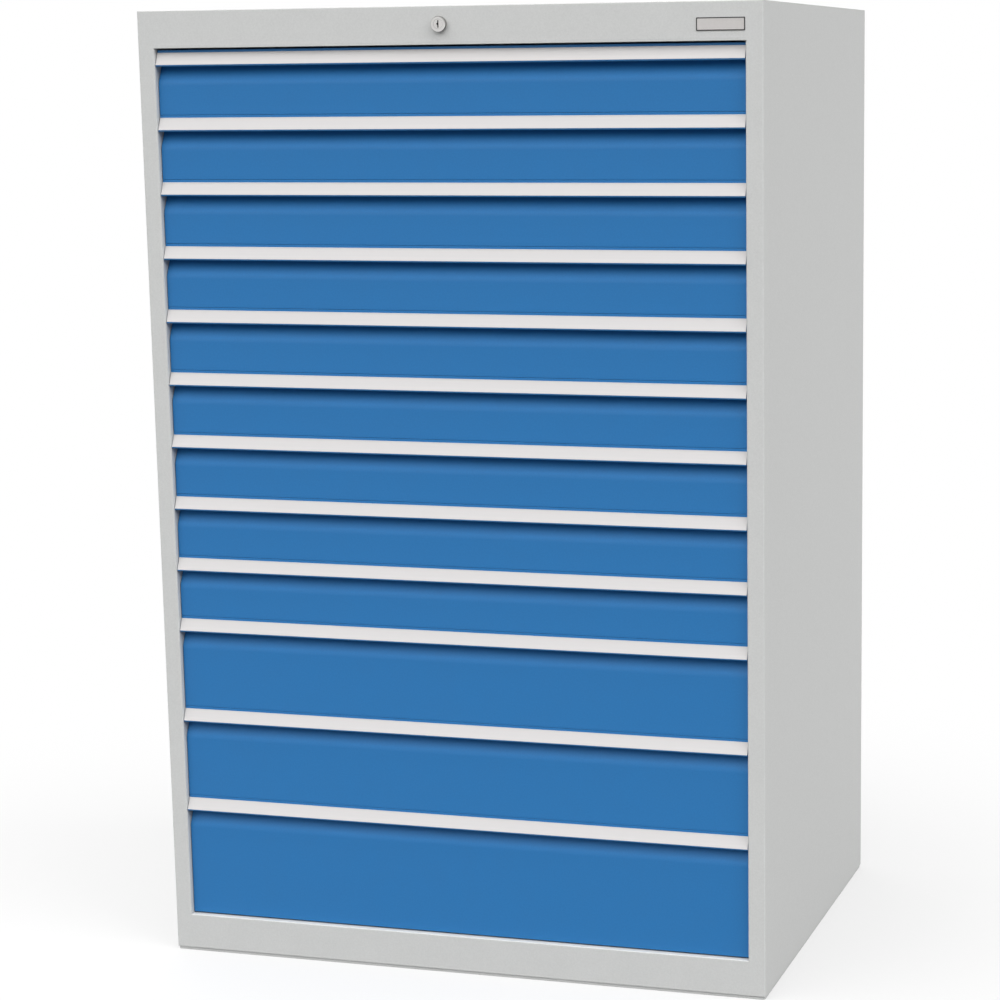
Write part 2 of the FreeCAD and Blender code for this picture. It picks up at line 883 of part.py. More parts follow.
def rod_square():
    half = s.rod_half
    return box_outline(
        shaft_place - half, shaft_place + half, shaft_depth - half, shaft_depth + half
    )


def shaft_lever(under):
    """Lever on the rod's upper end, with the pin that stands in the link bar's tongue."""
    lever = new_body("lock_lever")
    # the arm leans 45 degrees from straight ahead, towards the right
    arm = leaning_arm(shaft_place, shaft_depth, -1, s.lever_tail)
    pad(lever, "XY", under, s.cam_thickness, [arm])
    pin = (shaft_place + swing, shaft_depth - swing, s.lock_pin_radius)
    pad(lever, "XY", lever_top, link_top + s.tongue_gap - lever_top, circles=[pin])
    return lever


def shaft_lug(number, lift):
    """Plate on the square rod; its finger points ahead at rest, clear of the catch."""
    lug = new_body(f"lock_lug_{number:02d}", lift + s.lug_lift)
    outline = box_outline(
        shaft_place - s.lug_half_width,
        shaft_place + s.lug_half_width,
        shaft_depth - s.lug_reach,
        shaft_depth + s.lug_half_width,
    )
    pad(lug, "XY", ZERO, s.lug_thickness, [outline, rod_square()])
    return lug


def build():
    """Make every sub-part, the drawers from the top one down."""
    lifts = []
    lift = stack_top
    for module in MODULES:
        lift = lift - module
        lifts.append(lift)
    nodes.extend(
        [
            side_panel("left_side_panel", -1),
            side_panel("right_side_panel", 1),
            top_panel(),
            base_pan(),
            base_frame(),
            rear_panel(),
            runner_uprights(),
            cabinet_runners(lifts),
            lock_housing(),
            lock_barrel(),
            link_bar(),
            locking_shaft(lifts),
        ]
    )
    for number, (place, module) in enumerate(zip(lifts, MODULES), start=1):
        nodes.append(drawer_front(number, place, module))
        nodes.append(label_strip(number, place, module))
        nodes.append(tray(number, place, module))
        nodes.append(mid_runners(number, place))


def check():
    """Stop if any object failed, any cut took nothing away, or any shape is bad."""
    doc.recompute()
    for item in doc.Objects:
        if "Invalid" in item.State or "Error" in item.State:
            raise RuntimeError(f"{item.Label} failed: {item.State}")
    for before, after in cuts:
        if after.Shape.Volume >= before.Shape.Volume:
            raise RuntimeError(f"{after.Label} removed nothing")
    for node in nodes:
        if node.Shape.isNull() or not node.Shape.isValid():
            raise RuntimeError(f"{node.Label} has a bad shape")


def write():
    os.makedirs("parts", exist_ok=True)
    for node in nodes:
        node.Shape.exportStep(f"parts/{node.Label}.step")
        print(node.Label, len(node.Shape.Solids), "solids", round(node.Shape.Volume), "mm3")


build()
check()
write()
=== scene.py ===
# %% [markdown]
# # A steel drawer cabinet, dressed for its picture
#
# The cabinet's solids come from CAD and stay as they are. This lesson gives each of them
# the finish of the real one, and sets up the camera and the light. It also adds the small
# trim that CAD leaves out: the dressed welds at the frame's corners, the bare name plate
# and the rivets in the trays. X runs to the cabinet's right, Y to its back and Z up, in
# metres.

# %% Load the cabinet
import json
import math

import bpy
from mathutils import Matrix, Vector


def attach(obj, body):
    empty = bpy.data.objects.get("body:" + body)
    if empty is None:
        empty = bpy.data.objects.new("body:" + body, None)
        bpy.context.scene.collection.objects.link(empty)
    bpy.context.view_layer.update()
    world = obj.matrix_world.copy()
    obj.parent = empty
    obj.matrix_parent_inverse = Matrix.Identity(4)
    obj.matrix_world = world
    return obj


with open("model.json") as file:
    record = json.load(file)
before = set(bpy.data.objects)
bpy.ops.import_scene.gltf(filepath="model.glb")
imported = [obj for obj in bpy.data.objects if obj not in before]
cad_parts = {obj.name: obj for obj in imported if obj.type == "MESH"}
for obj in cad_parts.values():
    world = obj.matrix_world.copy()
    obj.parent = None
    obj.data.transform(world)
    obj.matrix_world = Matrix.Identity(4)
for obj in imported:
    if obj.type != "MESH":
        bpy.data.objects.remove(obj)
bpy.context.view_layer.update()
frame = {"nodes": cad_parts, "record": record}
nodes = frame["nodes"]

# %% [markdown]
# ## Camera
#
# The camera stands to the right of the cabinet, just below its roof, and looks down a
# little. Its place was worked out from the straight edges in the picture. The picture's
# centre isn't on the axis of the lens, as if it had been cut out of a larger picture. A
# shift of the lens gives the same, and it keeps the lines as the lens drew them. A matrix
# of its three axes turns the camera, because it also leans a little to one side.

# %% Camera
YAW, PITCH, ROLL = (math.radians(angle) for angle in (-16.2494, -10.6208, -0.5902))
FRONT_PLANE = -0.36425
CAMERA_PLACE = Vector((1.4309, FRONT_PLANE - 3.8237, 1.4163))


def add_object(name, data):
    thing = bpy.data.objects.new(name, data)
    bpy.context.scene.collection.objects.link(thing)
    return thing


flat_ahead = Vector((math.sin(YAW), math.cos(YAW), 0))
ahead = flat_ahead * math.cos(PITCH) + Vector((0, 0, math.sin(PITCH)))
level_right = Vector((math.cos(YAW), -math.sin(YAW), 0))
level_up = level_right.cross(ahead)
right = level_right * math.cos(ROLL) + level_up * math.sin(ROLL)
up = level_up * math.cos(ROLL) - level_right * math.sin(ROLL)

lens = bpy.data.cameras.new("camera")
lens.sensor_width = 36
lens.lens = 95.34
lens.shift_x = -0.147
lens.shift_y = 0.073
camera = add_object("camera", lens)
turn = Matrix((right, up, -ahead)).transposed().to_4x4()
camera.matrix_world = Matrix.Translation(CAMERA_PLACE) @ turn
bpy.context.scene.camera = camera
bpy.context.scene.view_settings.view_transform = "Standard"
print("the camera stands", round(CAMERA_PLACE.length, 2), "m away")

# %% [markdown]
# ## Two helpers
#
# Every shader and every Geometry Nodes tree below is written with one function. It adds a
# node, sets its properties, then sets or links its inputs. An input is named as Blender
# names it, with an underscore for each space, or by its place in the list, such as i0.
# Colours are written in hex, as a paint chart gives them, and turned to linear numbers.

# %% Helpers
def add_node(tree, kind, settings=None, **links):
    node = tree.nodes.new(kind)
    for name, value in (settings or {}).items():
        setattr(node, name, value)
    for name, value in links.items():
        is_place = name[0] == "i" and name[1:].isdigit()
        socket = node.inputs[int(name[1:]) if is_place else name.replace("_", " ")]
        if isinstance(value, bpy.types.NodeSocket):
            tree.links.new(value, socket)
        else:
            socket.default_value = value
    return node


def linear(code):
    steps = [int(code[place:place + 2], 16) / 255 for place in (0, 2, 4)]
    return [c / 12.92 if c <= 0.04045 else ((c + 0.055) / 1.055) ** 2.4 for c in steps] + [1]


print("mid grey is", [round(c, 3) for c in linear("BCBCBC")])

# %% [markdown]
# ## World
#
# The picture's background is pure white, and so is what the camera sees of the world. The
# paint mirrors a white wall in front of the cabinet, which is bright near the horizon and
# duller high up: that keeps the recesses under the grips a deep blue, as they mirror what
# is above them. Heights are sines, so 0.4 is about 24 degrees above the horizon. All other
# rays get a faint fill, or there would be no dark under the grips.

# %% World
FILL = 0.13
WALL_BRIGHT, WALL_DULL = 1.0, 0.12
DULL_FROM = 0.4

world = bpy.data.worlds.new("white_studio")
bpy.context.scene.world = world
world.use_nodes = True
tree = world.node_tree
tree.nodes.clear()
path = add_node(tree, "ShaderNodeLightPath").outputs
direction = add_node(tree, "ShaderNodeTexCoord").outputs["Generated"]
height = add_node(tree, "ShaderNodeSeparateXYZ", Vector=direction).outputs["Z"]
wall = add_node(tree, "ShaderNodeMapRange", {"interpolation_type": "SMOOTHSTEP"}, Value=height,
                From_Min=0.0, From_Max=DULL_FROM, To_Min=WALL_BRIGHT, To_Max=WALL_DULL).outputs[0]
mirrored = add_node(tree, "ShaderNodeMath", {"operation": "MULTIPLY"},
                    i0=wall, i1=path["Is Glossy Ray"]).outputs[0]
seen = add_node(tree, "ShaderNodeMath", {"operation": "ADD", "use_clamp": True},
                i0=path["Is Camera Ray"], i1=path["Is Transmission Ray"]).outputs[0]
bright = add_node(tree, "ShaderNodeMath", {"operation": "MAXIMUM"}, i0=mirrored, i1=seen)
level = add_node(tree, "ShaderNodeMath", {"operation": "MAXIMUM"}, i0=bright.outputs[0], i1=FILL)
sky = add_node(tree, "ShaderNodeBackground", Color=linear("FFFFFF"), Strength=level.outputs[0])
add_node(tree, "ShaderNodeOutputWorld", Surface=sky.outputs[0])
print("fill light:", FILL)

# %% [markdown]
# ## Three suns
#
# The front and the side are nearly as bright as each other, and the shadows are soft. A
# large lamp high in front, a little to the left, lights the fronts and lets the grips throw
# a soft shadow below them. A second one far to the right lights the side, and makes the
# right-hand end of each blue front a little darker, where the stile stands in its way. A
# third one, low behind, keeps the back and the left side from going dark in other views.
# Wide suns do that. They have no distance, so the head and the foot get the same light.
# They don't show in reflections, which the white wall makes alone. Angles are in degrees.

# %% Suns
def add_sun(name, to_the_right, height, strength, width):
    turned, raised = math.radians(to_the_right), math.radians(height)
    flat = Vector((math.sin(turned), -math.cos(turned), 0))
    towards = flat * math.cos(raised) + Vector((0, 0, math.sin(raised)))
    light = bpy.data.lights.new(name, "SUN")
    light.energy = strength
    light.angle = math.radians(width)
    sun = add_object(name, light)
    sun.rotation_euler = towards.to_track_quat("Z", "Y").to_euler()
    sun.visible_glossy = False
    print(name, "shines from", [round(part, 2) for part in towards])


add_sun("front_sun", to_the_right=-25, height=56, strength=3.95, width=90)
add_sun("side_sun", to_the_right=75, height=35, strength=2.24, width=50)
add_sun("back_sun", to_the_right=-150, height=10, strength=2.4, width=60)

# %% [markdown]
# ## Floor
#
# The floor is pale and matt, and it fades to plain white away from the cabinet, so that it
# has no horizon. Only the camera and reflections see it that bright. To all other rays it
# is darker, or its bounce would fill the undersides. Where the cabinet keeps the light off,
# it stays darker for the camera too, and that shadow sets the cabinet down on it. This
# material and those that follow are each made by a function that returns its surface.

# %% Floor
REACH = 30
FADE_FROM, FADE_TO = 0.6, 1.8
WHITE_SHARE_NEAR = 0.62


def new_material(name, make_surface, **choices):
    material = bpy.data.materials.new(name)
    material.use_nodes = True
    tree = material.node_tree
    tree.nodes.clear()
    add_node(tree, "ShaderNodeOutputMaterial", Surface=make_surface(tree, **choices))
    return material


def matt_paint(tree):
    place = add_node(tree, "ShaderNodeTexCoord").outputs["Object"]
    away = add_node(tree, "ShaderNodeVectorMath", {"operation": "LENGTH"}, i0=place)
    fade = add_node(tree, "ShaderNodeMapRange", {"interpolation_type": "SMOOTHSTEP"},
                    Value=away.outputs["Value"], From_Min=FADE_FROM, From_Max=FADE_TO,
                    To_Min=WHITE_SHARE_NEAR, To_Max=1.0).outputs[0]
    path = add_node(tree, "ShaderNodeLightPath").outputs
    seen = add_node(tree, "ShaderNodeMath", {"operation": "ADD", "use_clamp": True},
                    i0=path["Is Camera Ray"], i1=path["Is Glossy Ray"]).outputs[0]
    shown = add_node(tree, "ShaderNodeMath", {"operation": "MULTIPLY"}, i0=fade, i1=seen)
    tone = add_node(tree, "ShaderNodeMix", {"data_type": "RGBA"},
                    i0=seen, i6=linear("737373"), i7=linear("CBCBCB"))
    matt = add_node(tree, "ShaderNodeBsdfDiffuse", Color=tone.outputs[2])
    white = add_node(tree, "ShaderNodeEmission", Color=linear("FFFFFF"), Strength=1.0)
    return add_node(tree, "ShaderNodeMixShader", i0=shown.outputs[0],
                    i1=matt.outputs[0], i2=white.outputs[0]).outputs[0]


floor_mesh = bpy.data.meshes.new("floor")
floor_corners = [(-REACH, -REACH, 0), (REACH, -REACH, 0), (REACH, REACH, 0), (-REACH, REACH, 0)]
floor_mesh.from_pydata(floor_corners, [], [(0, 1, 2, 3)])
floor_mesh.materials.append(new_material("matt_white_floor", matt_paint))
floor = add_object("floor", floor_mesh)
print("the floor is", 2 * REACH, "m wide")

# %% [markdown]
# ## Seams that don't show
#
# The frame's two stiles and two rails are welded at their corners and dressed flat before
# they are painted, so no line shows between them. In CAD they are separate sheets that meet
# edge to edge. The Bevel node, which rounds edges in the light, would draw a groove there.
# This mask is 1 in a strip along those four seams, and the paint keeps its flat normal
# there. Filling the seams in the mesh would do it too, but CAD solids aren't changed.

# %% Seam mask
MM = 0.001
OPENING_HALF = 0.4742
OPENING_FOOT, OPENING_TOP = 0.062, 1.4666
OPENING_MIDDLE = (OPENING_TOP + OPENING_FOOT) / 2
OPENING_REACH = (OPENING_TOP - OPENING_FOOT) / 2
STRIP_HALF = 3 * MM
STRIP_OVERLAP = 0.5 * MM


def absolute_distance(tree, value, middle):
    offset = add_node(tree, "ShaderNodeMath", {"operation": "SUBTRACT"}, i0=value, i1=middle)
    return add_node(tree, "ShaderNodeMath", {"operation": "ABSOLUTE"},
                    i0=offset.outputs[0]).outputs[0]


def seam_mask(tree, place):
    parts = add_node(tree, "ShaderNodeSeparateXYZ", Vector=place).outputs
    across = absolute_distance(tree, parts["X"], 0.0)
    beside = add_node(tree, "ShaderNodeMath", {"operation": "COMPARE"},
                      i0=across, i1=OPENING_HALF, i2=STRIP_HALF)
    upright = absolute_distance(tree, parts["Z"], OPENING_MIDDLE)
    beyond = add_node(tree, "ShaderNodeMath", {"operation": "GREATER_THAN"},
                      i0=upright, i1=OPENING_REACH - STRIP_OVERLAP)
    return add_node(tree, "ShaderNodeMath", {"operation": "MULTIPLY"},
                    i0=beside.outputs[0], i1=beyond.outputs[0]).outputs[0]


print("seams at x = +/-", OPENING_HALF, "above", OPENING_TOP, "and below", OPENING_FOOT)

# %% [markdown]
# ## Powder coat
#
# The sheets are cold-rolled steel under a baked polyester powder coat. The powder melts into
# a skin with a fine orange peel of about 1 mm, which softens reflections, and its thickness
# varies, so the tone clouds a little over a few centimetres. The paint gathers on folded
# edges, which look rounded. A picture of the surface could show all that, but noise worked
# out in the shader has no seams and no limit of detail, and the Bevel node rounds the edges
# in the light alone. The peel is drawn at 2.5 mm, because 1 mm is less than one pixel here.
# Noise has values between about 0.3 and 0.7, and that range is mapped to tone and gloss.

# %% Powder coat
PEEL_MM, CLOUD_MM = 2.5, 45
NOISE_LOW, NOISE_HIGH = 0.3, 0.7
PEEL_SHARE = 0.75
TONE_SPREAD = 0.045
GLOSS_SPREAD = 0.03


def powder_coat(tree, paint, roughness=0.46, specular=0.35):
    place = add_node(tree, "ShaderNodeTexCoord").outputs["Object"]
    cloud = add_node(tree, "ShaderNodeTexNoise", Vector=place,
                     Scale=1000 / CLOUD_MM, Detail=3.0).outputs[0]
    peel = add_node(tree, "ShaderNodeTexNoise", Vector=place,
                    Scale=1000 / PEEL_MM, Detail=2.0).outputs[0]
    speck = add_node(tree, "ShaderNodeMix", {"data_type": "FLOAT"},
                     i0=PEEL_SHARE, i2=cloud, i3=peel)
    tone = add_node(tree, "ShaderNodeMapRange", Value=speck.outputs[0],
                    From_Min=NOISE_LOW, From_Max=NOISE_HIGH,
                    To_Min=1 - TONE_SPREAD, To_Max=1 + TONE_SPREAD)
    tint = add_node(tree, "ShaderNodeVectorMath", {"operation": "SCALE"},
                    i0=linear(paint)[:3], Scale=tone.outputs[0])
    gloss = add_node(tree, "ShaderNodeMapRange", Value=cloud,
                     From_Min=NOISE_LOW, From_Max=NOISE_HIGH,
                     To_Min=roughness - GLOSS_SPREAD, To_Max=roughness + GLOSS_SPREAD)
    soft_edge = add_node(tree, "ShaderNodeBevel", {"samples": 4}, Radius=1.2 * MM)
    flat = add_node(tree, "ShaderNodeNewGeometry").outputs["Normal"]
    normal = add_node(tree, "ShaderNodeMix", {"data_type": "VECTOR"}, i0=seam_mask(tree, place),
                      i4=soft_edge.outputs[0], i5=flat)
    bump = add_node(tree, "ShaderNodeBump", Height=peel, Normal=normal.outputs[1],
                    Strength=0.25, Distance=0.12 * MM)
    return add_node(tree, "ShaderNodeBsdfPrincipled", Base_Color=tint.outputs[0],
                    Roughness=gloss.outputs[0], Normal=bump.outputs[0],
                    Specular_IOR_Level=specular).outputs[0]


grey_coat = new_material("light_grey_powder_coat", powder_coat, paint="C4C5C4")
blue_coat = new_material("gentian_blue_powder_coat", powder_coat, paint="1F6CA8", specular=0.45)
print("coats:", grey_coat.name, blue_coat.name)

# %% [markdown]
# ## Zinc
#
# Runners, posts and the lock's linkage are rolled steel with a thin bright zinc plate. It
# shines, a little bluish, with faint streaks along the direction of rolling. Stretched noise
# gives the streaks: 80 mm long along Y or Z, the lengths of these pieces, and narrow across
# them. Real rolling marks are about 0.2 mm wide. They are drawn 1.5 mm wide, or they would
# be too fine to show. The plate's tone clouds from bluish to yellowish over about 35 mm.

# %% Zinc plate
LONG, NARROW = 1000 / 80, 1000 / 1.5
ALONG_Y = (NARROW, LONG, NARROW)
ALONG_Z = (NARROW, NARROW, LONG)
ZINC_CLOUD_MM = 35


def zinc_plate(tree, rolled):
    place = add_node(tree, "ShaderNodeTexCoord").outputs["Object"]
    along = add_node(tree, "ShaderNodeMapping", Vector=place, Scale=rolled).outputs[0]
    streak = add_node(tree, "ShaderNodeTexNoise", Vector=along, Scale=1.0, Detail=3.0).outputs[0]
    cloud = add_node(tree, "ShaderNodeTexNoise", Vector=place,
                     Scale=1000 / ZINC_CLOUD_MM, Detail=2.0)
    tint = add_node(tree, "ShaderNodeMix", {"data_type": "RGBA"}, i0=cloud.outputs[0],
                    i6=linear("BFC4CA"), i7=linear("CFCFCC"))
    gloss = add_node(tree, "ShaderNodeMapRange", Value=streak, From_Min=NOISE_LOW,
                     From_Max=NOISE_HIGH, To_Min=0.24, To_Max=0.40)
    bump = add_node(tree, "ShaderNodeBump", Height=streak, Strength=0.2, Distance=0.05 * MM)
    return add_node(tree, "ShaderNodeBsdfPrincipled", Base_Color=tint.outputs[2], Metallic=1.0,
                    Roughness=gloss.outputs[0], Normal=bump.outputs[0]).outputs[0]


runner_zinc = new_material("bright_zinc_plate_along_y", zinc_plate, rolled=ALONG_Y)
post_zinc = new_material("bright_zinc_plate_along_z", zinc_plate, rolled=ALONG_Z)
print("zinc:", runner_zinc.name, post_zinc.name)

# %% [markdown]
# ## Tray coat
#
# A tray is a folded sheet in pale powder coat. Its node also holds what is riveted to its
# sides: the drawer's runner channels and the catch for the lock, which are zinc plated. The
# node gets one material, so position tells the two apart. Whatever lies outside the tray's
# side walls, 451 mm from the middle, is zinc.

# %% Tray coat
TRAY_HALF = 0.4512


def coat_and_zinc(tree):
    place = add_node(tree, "ShaderNodeTexCoord").outputs["Object"]
    across = add_node(tree, "ShaderNodeSeparateXYZ", Vector=place).outputs["X"]
    outside = add_node(tree, "ShaderNodeMath", {"operation": "GREATER_THAN"},
                       i0=absolute_distance(tree, across, 0.0), i1=TRAY_HALF)
    coat = powder_coat(tree, "C4C5C4", roughness=0.4)
    zinc = zinc_plate(tree, ALONG_Y)
    return add_node(tree, "ShaderNodeMixShader", i0=outside.outputs[0], i1=coat, i2=zinc).outputs[0]


tray_coat = new_material("pale_grey_tray_powder_coat", coat_and_zinc)
print("tray:", tray_coat.name)

# %% [markdown]
# ## Lock finish
#
# The lock's face was turned on a lathe and nickel plated, so very fine rings run round its
# axis. A ring wave centred on that axis gives them, drawn 0.5 mm apart, as the real 0.1 mm
# is far too fine to show. At a scale of 1 that texture repeats every 2 pi / 20. Behind the
# face, the lock's side wall and the inside of the keyway get a darker, dull colour that is
# painted shade: the side wall stands out of the light, and the keyway is a deep slit. The
# depth behind the face tells the two apart.

# %% Satin nickel
LOCK_FACE = Vector((0, FRONT_PLANE - 7.5 * MM, 1.497))
WAVE_LENGTH = 2 * math.pi / 20
RING_STEP = 0.5 * MM
# Painted shade: behind the face, the colour fades to a dark shade tone over this depth.
SHADE_FADE_MM = 0.3


def turned_nickel(tree, raw_from_mm, raw_tone):
    place = add_node(tree, "ShaderNodeTexCoord").outputs["Object"]
    centred = add_node(tree, "ShaderNodeVectorMath", {"operation": "SUBTRACT"},
                       i0=place, i1=LOCK_FACE).outputs[0]
    rings = add_node(tree, "ShaderNodeTexWave", {"wave_type": "RINGS", "rings_direction": "Y"},
                     Vector=centred, Scale=WAVE_LENGTH / RING_STEP, Distortion=0.6).outputs[1]
    behind = add_node(tree, "ShaderNodeSeparateXYZ", Vector=centred).outputs["Y"]
    # Painted shade: from this depth behind the face, the colour turns to the dark shade tone and
    # the metal is turned off.
    raw = add_node(tree, "ShaderNodeMapRange", Value=behind, From_Min=raw_from_mm * MM,
                   From_Max=(raw_from_mm + SHADE_FADE_MM) * MM).outputs[0]
    tint = add_node(tree, "ShaderNodeMix", {"data_type": "RGBA"}, i0=raw,
                    i6=linear("F0EEEC"), i7=linear(raw_tone))
    metal = add_node(tree, "ShaderNodeMath", {"operation": "SUBTRACT"}, i0=1.0, i1=raw)
    gloss = add_node(tree, "ShaderNodeMapRange", Value=rings, To_Min=0.36, To_Max=0.44)
    bump = add_node(tree, "ShaderNodeBump", Height=rings, Strength=0.12, Distance=0.02 * MM)
    return add_node(tree, "ShaderNodeBsdfPrincipled", Base_Color=tint.outputs[2],
                    Metallic=metal.outputs[0], Roughness=gloss.outputs[0],
                    Normal=bump.outputs[0]).outputs[0]


# Painted shade tones: a dark grey side wall on the housing, and a near-black inside of the keyway.
housing_nickel = new_material("satin_nickel_housing", turned_nickel,
                              raw_from_mm=0.8, raw_tone="6A6865")
barrel_nickel = new_material("satin_nickel_barrel", turned_nickel,
                             raw_from_mm=0.5, raw_tone="1E1D1C")
print("lock finish:", housing_nickel.name, barrel_nickel.name)

# %% [markdown]
# ## Label plastic
#
# The slanted strips are extruded PVC, off-white and satin. The die draws faint lines along
# X, less than 0.5 mm wide. Stretched noise gives them, 120 mm long and drawn 2 mm wide to
# show at all. The same noise drives tone and relief, so a dark line is also a shallow one.

# %% Label plastic
DIE_LINES = (1000 / 120, 1000 / 2, 1000 / 2)


def extruded_pvc(tree):
    place = add_node(tree, "ShaderNodeTexCoord").outputs["Object"]
    along = add_node(tree, "ShaderNodeMapping", Vector=place, Scale=DIE_LINES).outputs[0]
    drawn = add_node(tree, "ShaderNodeTexNoise", Vector=along, Scale=1.0, Detail=2.0).outputs[0]
    tone = add_node(tree, "ShaderNodeMix", {"data_type": "RGBA"}, i0=drawn,
                    i6=linear("C2C0C0"), i7=linear("C5C3C2"))
    bump = add_node(tree, "ShaderNodeBump", Height=drawn, Strength=0.1, Distance=0.05 * MM)
    return add_node(tree, "ShaderNodeBsdfPrincipled", Base_Color=tone.outputs[2],
                    Normal=bump.outputs[0], Roughness=0.38, IOR=1.53,
                    Specular_IOR_Level=0.4).outputs[0]


label_plastic = new_material("satin_off_white_pvc", extruded_pvc)
print("strips:", label_plastic.name)

# %% [markdown]
# ## Finishes on the CAD solids
#
# The record names a material slot for each node, and each slot has one finish here. The
# posts and the locking shaft stand upright, so they get the zinc with upright streaks. The
# lock's barrel sits a little behind its face and has its own depth.

# %% Dress the CAD solids
finish_of_slot = {
    "cabinet_grey": grey_coat, "drawer_blue": blue_coat, "tray_grey": tray_coat,
    "runner_zinc": runner_zinc, "label_white": label_plastic, "lock_nickel": housing_nickel,
}
for part in frame["record"]["subparts"]:
    mesh = nodes[part["node"]].data
    mesh.materials.clear()
    mesh.materials.append(finish_of_slot[part["material_slot"]])
for upright in ("runner_uprights", "locking_shaft"):
    nodes[upright].data.materials[0] = post_zinc
nodes["lock_barrel"].data.materials[0] = barrel_nickel

# %% [markdown]
# ## Faces between loops
#
# The welds and the name plate are each a row of loops, with as many points in each loop.
# Between two loops there is a band of faces, and one face closes the first loop and one the
# last. Written out like this, the mesh has just the points it needs, and it is closed.

# %% Faces between loops
def faces_between(loops, first=0):
    around = len(loops[0])
    last = first + (len(loops) - 1) * around
    faces = [tuple(range(first + around - 1, first - 1, -1)), tuple(range(last, last + around))]
    for low in range(first, last, around):
        for step in range(around):
            following = (step + 1) % around
            high = low + around
            faces.append((low + step, low + following, high + following, high + step))
    return faces


print("a bar with four sides has", len(faces_between([range(4), range(4)])), "faces")

# %% [markdown]
# ## Dressed welds
#
# A folded edge is round, so a small V stays open where a rail meets a stile. On the real
# frame a weld fills it and is ground flush before painting, which is why no line shows. Here
# a bar with the same cross-section lies in each V: flat in front, hollow where it follows
# the stile's fold of 2.5 mm radius. It ends a little short of the folds at the roof and at
# the sill. It is a short prism, so two loops of points are enough.

# %% Dressed welds
FOLD_RADIUS = 2.5 * MM
FOLD_STEPS = 6
WELD_ENDS = ((OPENING_TOP, 1.5225), (0.005, 0.061))


def weld_section(side, z):
    section = [Vector((side * OPENING_HALF, FRONT_PLANE, z))]
    for step in range(FOLD_STEPS + 1):
        angle = math.radians(90) * step / FOLD_STEPS
        x = OPENING_HALF + FOLD_RADIUS * (1 - math.sin(angle))
        y = FRONT_PLANE + FOLD_RADIUS * (1 - math.cos(angle))
        section.append(Vector((side * x, y, z)))
    return section


weld_points, weld_faces = [], []
for side in (-1, 1):
    for low, high in WELD_ENDS:
        loops = [weld_section(side, low), weld_section(side, high)]
        faces = faces_between(loops, first=len(weld_points))
        weld_points += loops[0] + loops[1]
        weld_faces += faces if side > 0 else [tuple(reversed(face)) for face in faces]
weld_mesh = bpy.data.meshes.new("corner_welds")
weld_mesh.from_pydata(weld_points, [], weld_faces)
weld_mesh.materials.append(grey_coat)
corner_welds = add_object("corner_welds", weld_mesh)
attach(corner_welds, "cabinet")
print("the four welds have", len(weld_mesh.polygons), "faces")

# %% [markdown]
# ## Name plate
#
# A small bare plate sits at the right-hand end of the top rail. On the real one it is a
# stamped aluminium sheet, 74 by 19.4 mm, glued on, with a dark rim 1.4 mm wide and rounded
# corners. Four loops of points make it: the foot, the rim's outer edge, the rim's inner edge
# and the sunk face. A loop is a rounded rectangle, worked out from sine and cosine. A cube
# with modifiers would need more steps for the same shape. The plate's own sizes are in
# millimetres. The face on the last loop comes second in the list, and gets the bare metal,
# whose fine grain is drawn 3 mm wide so that it shows.

# %% Name plate
PLATE_CENTRE = Vector((0.4369, FRONT_PLANE, 1.4907))
PLATE_HALF_X, PLATE_HALF_Z = 37.0, 9.7
CORNER_STEPS = 5
QUARTERS = ((1, 1), (-1, 1), (-1, -1), (1, -1))
GRAIN_MM = 3


def rounded_loop(inset, corner, ahead_by):
    points = []
    for quarter, (sign_x, sign_z) in enumerate(QUARTERS):
        middle_x = sign_x * (PLATE_HALF_X - inset - corner)
        middle_z = sign_z * (PLATE_HALF_Z - inset - corner)
        for step in range(CORNER_STEPS + 1):
            angle = math.radians(90) * (quarter + step / CORNER_STEPS)
            x = middle_x + corner * math.cos(angle)
            z = middle_z + corner * math.sin(angle)
            points.append(PLATE_CENTRE + Vector((x, -ahead_by, z)) * MM)
    return points


def printed_rim(tree):
    return add_node(tree, "ShaderNodeBsdfPrincipled", Base_Color=linear("3A3938"),
                    Roughness=0.5).outputs[0]


def aluminium_foil(tree):
    place = add_node(tree, "ShaderNodeTexCoord").outputs["Object"]
    grain = add_node(tree, "ShaderNodeTexNoise", Vector=place, Scale=1000 / GRAIN_MM, Detail=2.0)
    tone = add_node(tree, "ShaderNodeMix", {"data_type": "RGBA"}, i0=grain.outputs[0],
                    i6=linear("BDBAB8"), i7=linear("C5C2C0"))
    return add_node(tree, "ShaderNodeBsdfPrincipled", Base_Color=tone.outputs[2],
                    Roughness=0.45).outputs[0]


loops = [rounded_loop(0, 1.2, 0), rounded_loop(0.1, 1.1, 0.8),
         rounded_loop(1.4, 0.9, 0.8), rounded_loop(1.6, 0.8, 0.55)]
plate_mesh = bpy.data.meshes.new("name_plate")
plate_mesh.from_pydata([point for loop in loops for point in loop], [], faces_between(loops))
plate_mesh.materials.append(new_material("dark_printed_rim", printed_rim))
plate_mesh.materials.append(new_material("matt_aluminium_foil", aluminium_foil))
plate_mesh.polygons[1].material_index = 1
name_plate = add_object("name_plate", plate_mesh)
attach(name_plate, "cabinet")
print("the name plate has", len(plate_mesh.polygons), "faces")

# %% [markdown]
# ## Rivets
#
# Blind rivets hold the runner channels on the tray's side walls and the front on the tray.
# Inside the tray their heads show: low domes, 6.5 mm wide, with the dimple that the drawn
# mandrel leaves. All heads are alike, so one head is made in Geometry Nodes and put on a
# cloud of points, which carries the place and the direction of each rivet. A copy of a mesh
# for each head would need as many objects. The head has few faces, as there are many. The
# top of a flat disc is pushed down, more towards the rim and most in the dimple.

# %% Rivet tree
RIM_DROP, DIMPLE_REACH, PUSH = 0.6, 0.3, -0.6
RIVET_INPUTS = {"Places": "NodeSocketGeometry", "Head width": "NodeSocketFloat",
                "Head height": "NodeSocketFloat", "Finish": "NodeSocketMaterial"}


